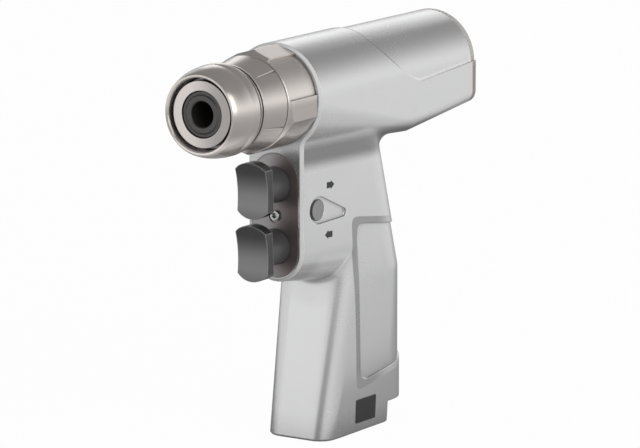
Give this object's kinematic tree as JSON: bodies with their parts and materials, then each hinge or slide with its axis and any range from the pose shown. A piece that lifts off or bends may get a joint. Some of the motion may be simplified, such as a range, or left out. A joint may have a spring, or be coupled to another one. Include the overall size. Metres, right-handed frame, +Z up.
{
  "type": "surgical power drill",
  "caption": "Pistol-form battery surgical drill: cannulated drive nose with a twist collar, barrel, two triggers, safety cross-bolt and a battery socket in the grip's foot.",
  "frame": {"origin": "centre of the attachment bore's mouth, on the drive axis", "axes": "+X along the drive axis out of the nose, +Y to the drill's left, +Z up, away from the grip"},
  "size_m": [0.1633, 0.04, 0.1528],
  "materials": {
    "housing_alloy": "satin",
    "cap_plastic": "satin",
    "plate_steel": "brushed",
    "trigger_black": "satin",
    "block_grey": "matte",
    "button_alloy": "satin",
    "collar_steel": "polished",
    "nose_steel": "turned",
    "hub_steel": "turned",
    "screw_steel": "bright",
    "bearing_steel": "ground",
    "gear_steel": "hobbed",
    "spring_steel": "bright",
    "seal_rubber": "matte",
    "bell_alloy": "turned",
    "lamination_steel": "matte",
    "winding_copper": "enamelled",
    "magnet_metal": "satin",
    "board_green": "lacquered",
    "potting_black": "matte",
    "socket_plastic": "matte",
    "contact_brass": "plated"
  },
  "bodies": {
    "handpiece": {"housing": "housing_alloy", "rear_cap": "cap_plastic", "rear_cap_screws": "screw_steel", "trigger_plate": "plate_steel", "trigger_plate_screw": "screw_steel", "trigger_block": "block_grey", "upper_trigger_spring": "spring_steel", "lower_trigger_spring": "spring_steel", "nose_body": "nose_steel", "hub_seal": "seal_rubber", "collar_snap_ring": "spring_steel", "spindle_bearing_outer_races": "bearing_steel", "ring_gear": "gear_steel", "motor_front_bell": "bell_alloy", "motor_rear_bell": "bell_alloy", "motor_bearing_outer_races": "bearing_steel", "stator_core": "lamination_steel", "stator_windings": "winding_copper", "sensor_board": "board_green", "motor_controller": "potting_black", "cannula_tube": "screw_steel", "battery_socket": "socket_plastic", "contact_block": "socket_plastic", "contact_blades": "contact_brass", "logic_board": "board_green"},
    "spindle": {"drive_spindle": "hub_steel", "spindle_bearing_inner_races": "bearing_steel", "planet_carrier": "gear_steel"},
    "planet_1": {"planet_gear_1": "gear_steel"},
    "planet_2": {"planet_gear_2": "gear_steel"},
    "planet_3": {"planet_gear_3": "gear_steel"},
    "rotor": {"rotor_shaft": "gear_steel", "rotor_magnet": "magnet_metal", "sensor_magnet": "magnet_metal", "sun_pinion": "gear_steel", "motor_bearing_inner_races": "bearing_steel"},
    "collar": {"collar_nose_ring": "collar_steel", "collar_fluted_sleeve": "collar_steel", "collar_grip_ring": "collar_steel"},
    "upper_trigger": {"upper_trigger_pad": "trigger_black", "upper_trigger_plunger": "trigger_black"},
    "lower_trigger": {"lower_trigger_pad": "trigger_black", "lower_trigger_plunger": "trigger_black"},
    "safety_bolt": {"safety_button": "button_alloy"}
  },
  "joints": [
    {"name": "spindle_spin", "type": "hinge", "parent": "handpiece", "child": "spindle", "pos_m": [-0.03, 0, 0], "axis": [1, 0, 0], "continuous": true},
    {"name": "planet_1_spin", "type": "hinge", "parent": "spindle", "child": "planet_1", "pos_m": [-0.0648, 0, 0.0105], "axis": [1, 0, 0], "continuous": true},
    {"name": "planet_2_spin", "type": "hinge", "parent": "spindle", "child": "planet_2", "pos_m": [-0.0648, 0.00909, -0.00525], "axis": [1, 0, 0], "continuous": true},
    {"name": "planet_3_spin", "type": "hinge", "parent": "spindle", "child": "planet_3", "pos_m": [-0.0648, -0.00909, -0.00525], "axis": [1, 0, 0], "continuous": true},
    {"name": "rotor_spin", "type": "hinge", "parent": "handpiece", "child": "rotor", "pos_m": [-0.09, 0, 0], "axis": [1, 0, 0], "continuous": true},
    {"name": "collar_turn", "type": "hinge", "parent": "handpiece", "child": "collar", "pos_m": [-0.02, 0, 0], "axis": [1, 0, 0], "range_deg": [0, 30]},
    {"name": "upper_trigger_press", "type": "slide", "parent": "handpiece", "child": "upper_trigger", "axis": [-1, 0, 0], "range_m": [0, 0.0065], "stiffness_N_per_m": 500, "springref_m": -0.005, "deforming": ["upper_trigger_spring"]},
    {"name": "lower_trigger_press", "type": "slide", "parent": "handpiece", "child": "lower_trigger", "axis": [-1, 0, 0], "range_m": [0, 0.0065], "stiffness_N_per_m": 500, "springref_m": -0.005, "deforming": ["lower_trigger_spring"]},
    {"name": "safety_bolt_slide", "type": "slide", "parent": "handpiece", "child": "safety_bolt", "axis": [0, -1, 0], "range_m": [0, 0.0025]}
  ],
  "couplings": [
    {"joint": "planet_1_spin", "follows": "spindle_spin", "ratio": -3},
    {"joint": "planet_2_spin", "follows": "spindle_spin", "ratio": -3},
    {"joint": "planet_3_spin", "follows": "spindle_spin", "ratio": -3},
    {"joint": "rotor_spin", "follows": "spindle_spin", "ratio": 4}
  ]
}
